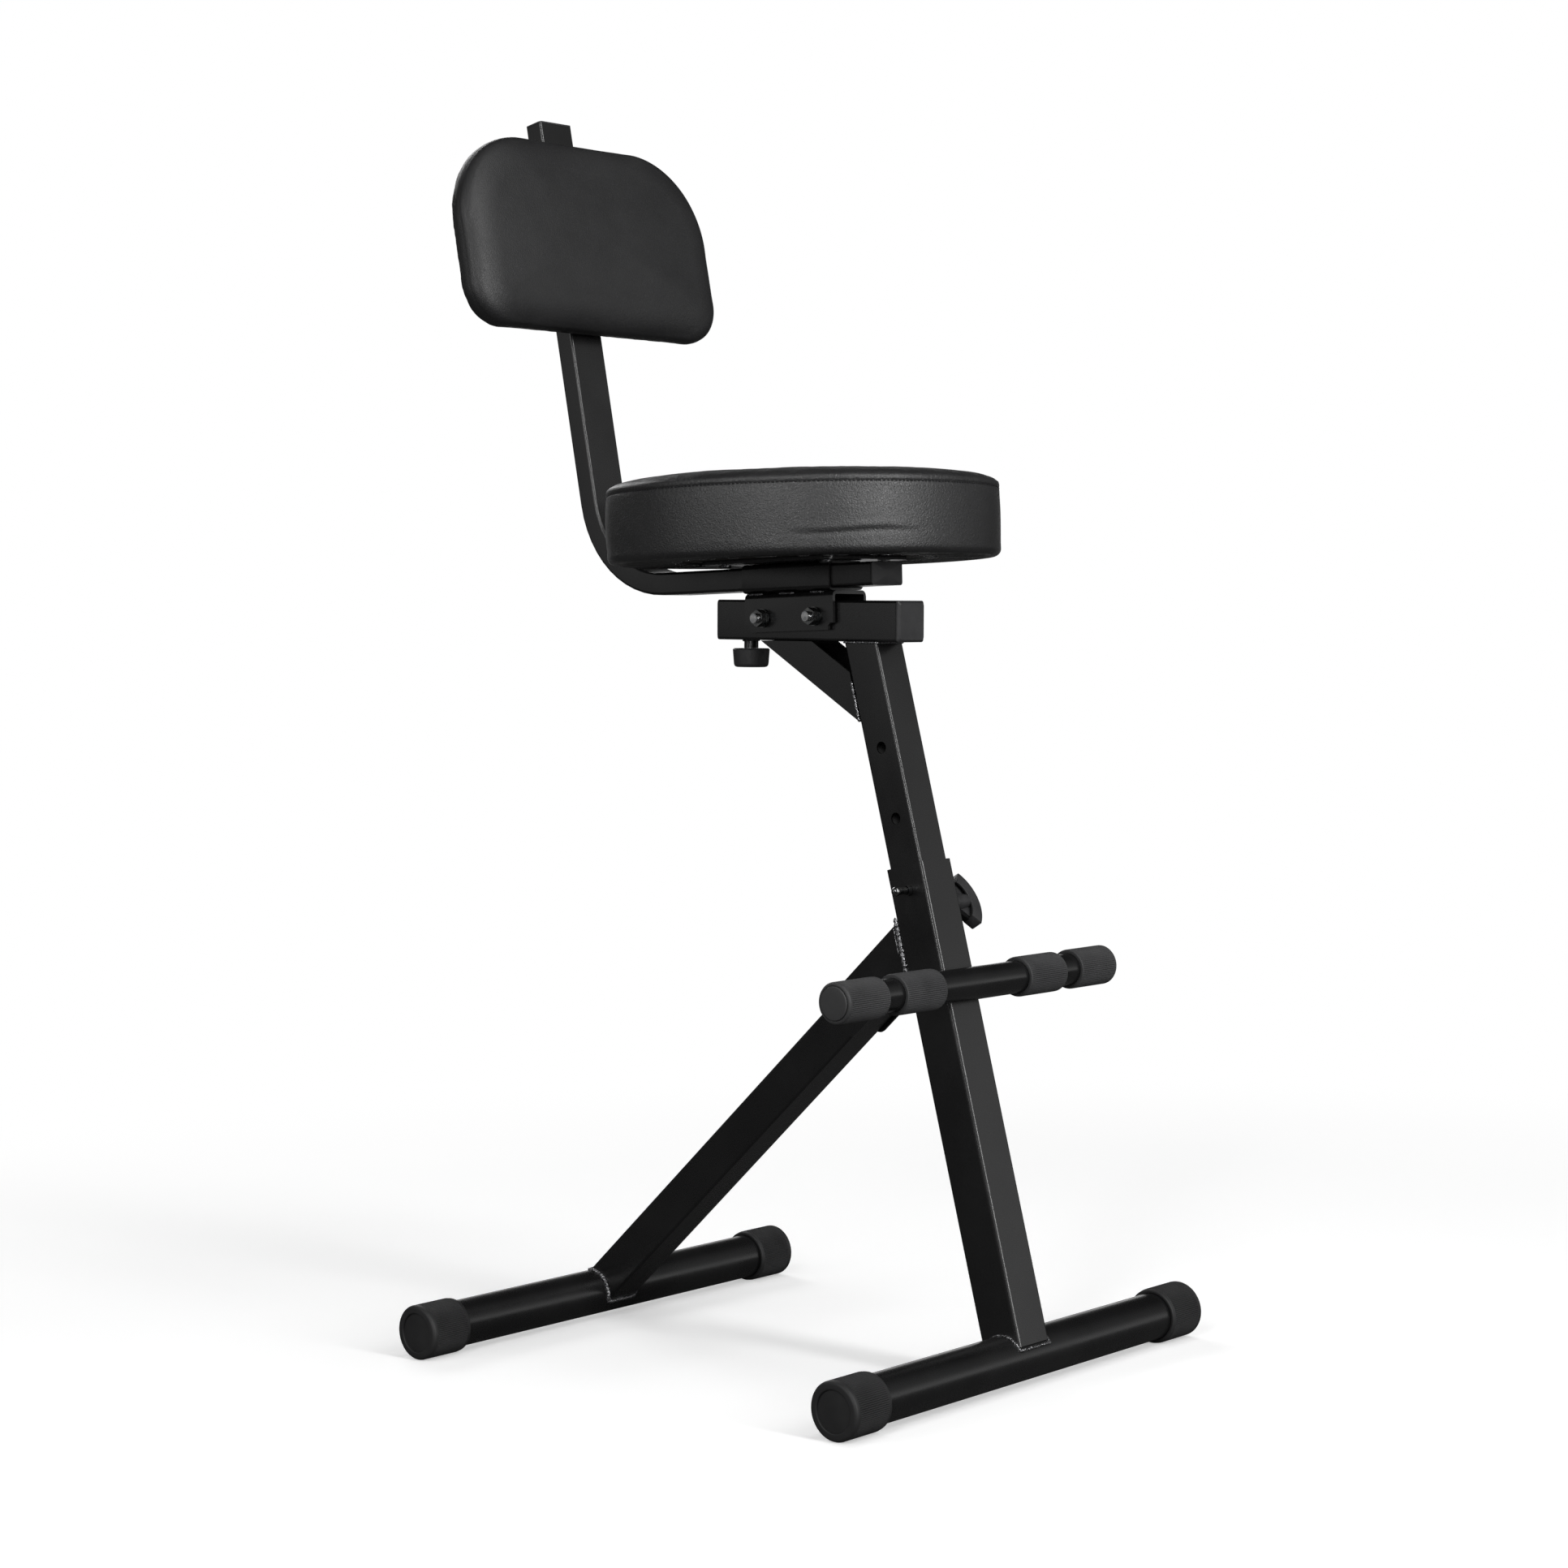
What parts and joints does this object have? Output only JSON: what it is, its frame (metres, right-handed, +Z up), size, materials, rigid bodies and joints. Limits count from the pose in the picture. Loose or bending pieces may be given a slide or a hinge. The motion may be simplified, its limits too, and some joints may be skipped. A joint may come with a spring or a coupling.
{
  "type": "guitar stool",
  "caption": "Guitarist's stool: round padded seat on a sliding square post, back pad on a bent bar, cross footrest and rubber-capped floor bars.",
  "frame": {"origin": "on the floor, at the centre of the stool's footprint", "axes": "+Z up; -Y to the front, where the sitter faces; +X to the sitter's left"},
  "size_m": [0.47, 0.562, 1.1065],
  "materials": {
    "black_powder_coat": "satin powder coat on steel tube and sheet",
    "black_rubber": "matt, finely ribbed",
    "black_plastic": "satin",
    "bright_steel": "bright zinc plate",
    "dark_fastener": "black oxide steel",
    "plywood": "raw birch plywood",
    "faux_leather": "fine-grained black faux leather over foam, light sheen"
  },
  "bodies": {
    "frame": {"front_foot_tube": "black_powder_coat", "rear_foot_tube": "black_powder_coat", "front_right_foot_cap": "black_rubber", "front_left_foot_cap": "black_rubber", "rear_right_foot_cap": "black_rubber", "rear_left_foot_cap": "black_rubber", "front_leg_sleeve": "black_powder_coat", "rear_leg": "black_powder_coat", "rear_leg_right_cheek": "black_powder_coat", "rear_leg_left_cheek": "black_powder_coat", "footrest_tube": "black_powder_coat", "footrest_right_outer_grip": "black_rubber", "footrest_left_outer_grip": "black_rubber", "footrest_right_inner_grip": "black_rubber", "footrest_left_inner_grip": "black_rubber", "index_pin_collar": "black_powder_coat", "clamp_weld_nut": "black_powder_coat"},
    "seat_post": {"seat_post": "black_powder_coat", "post_glide_plug": "black_plastic", "head_tube": "black_powder_coat", "head_brace": "black_powder_coat", "head_front_cap": "black_plastic", "head_rear_cap": "black_plastic", "saddle_bracket": "black_powder_coat", "saddle_bolt_front": "bright_steel", "saddle_bolt_rear": "bright_steel", "saddle_nut_front": "bright_steel", "saddle_nut_rear": "bright_steel", "saddle_washer_front": "bright_steel", "saddle_washer_rear": "bright_steel", "bar_receiver": "black_powder_coat", "seat_plate": "black_powder_coat", "seat_board": "plywood", "seat_cushion": "faux_leather", "seat_screw_1": "dark_fastener", "seat_screw_2": "dark_fastener", "seat_screw_3": "dark_fastener", "seat_screw_4": "dark_fastener", "depth_knob_boss": "black_powder_coat"},
    "index_pin": {"index_pin": "bright_steel"},
    "clamp": {"clamp_grip": "black_plastic", "clamp_screw": "bright_steel"},
    "depth_knob": {"depth_knob": "black_plastic", "depth_knob_screw": "bright_steel"},
    "backrest_bar": {"backrest_bar": "black_powder_coat", "bar_front_plug": "black_plastic", "bar_top_plug": "black_plastic"},
    "backrest": {"backrest_slider": "black_powder_coat", "backrest_plate": "black_powder_coat", "backrest_board": "plywood", "backrest_cushion": "faux_leather", "slider_boss": "black_powder_coat", "backrest_screw_1": "dark_fastener", "backrest_screw_2": "dark_fastener", "backrest_screw_3": "dark_fastener", "backrest_screw_4": "dark_fastener"},
    "backrest_knob": {"backrest_knob": "black_plastic", "backrest_knob_screw": "bright_steel"}
  },
  "joints": [
    {"name": "seat_height", "type": "slide", "parent": "frame", "child": "seat_post", "axis": [0, 0.2284, 0.9736], "range_m": [-0.1226, 0.1226]},
    {"name": "index_pin_push", "type": "slide", "parent": "frame", "child": "index_pin", "axis": [1, 0, 0], "range_m": [0, 0.0105]},
    {"name": "clamp_turn", "type": "hinge", "parent": "frame", "child": "clamp", "pos_m": [0, -0.17416, 0.39487], "axis": [1, 0, 0], "range_deg": [0, 360]},
    {"name": "backrest_depth", "type": "slide", "parent": "seat_post", "child": "backrest_bar", "axis": [0, 1, 0], "range_m": [0, 0.045]},
    {"name": "depth_knob_turn", "type": "hinge", "parent": "seat_post", "child": "depth_knob", "pos_m": [0, 0.02221, 0.61516], "axis": [0, 0.0384, -0.9993], "range_deg": [0, 360]},
    {"name": "backrest_height", "type": "slide", "parent": "backrest_bar", "child": "backrest", "axis": [0, 0.165, 0.9863], "range_m": [-0.1, 0.06]},
    {"name": "backrest_knob_turn", "type": "hinge", "parent": "backrest", "child": "backrest_knob", "pos_m": [0, 0.26229, 0.98583], "axis": [0, 0.9863, -0.165], "range_deg": [0, 360]}
  ]
}
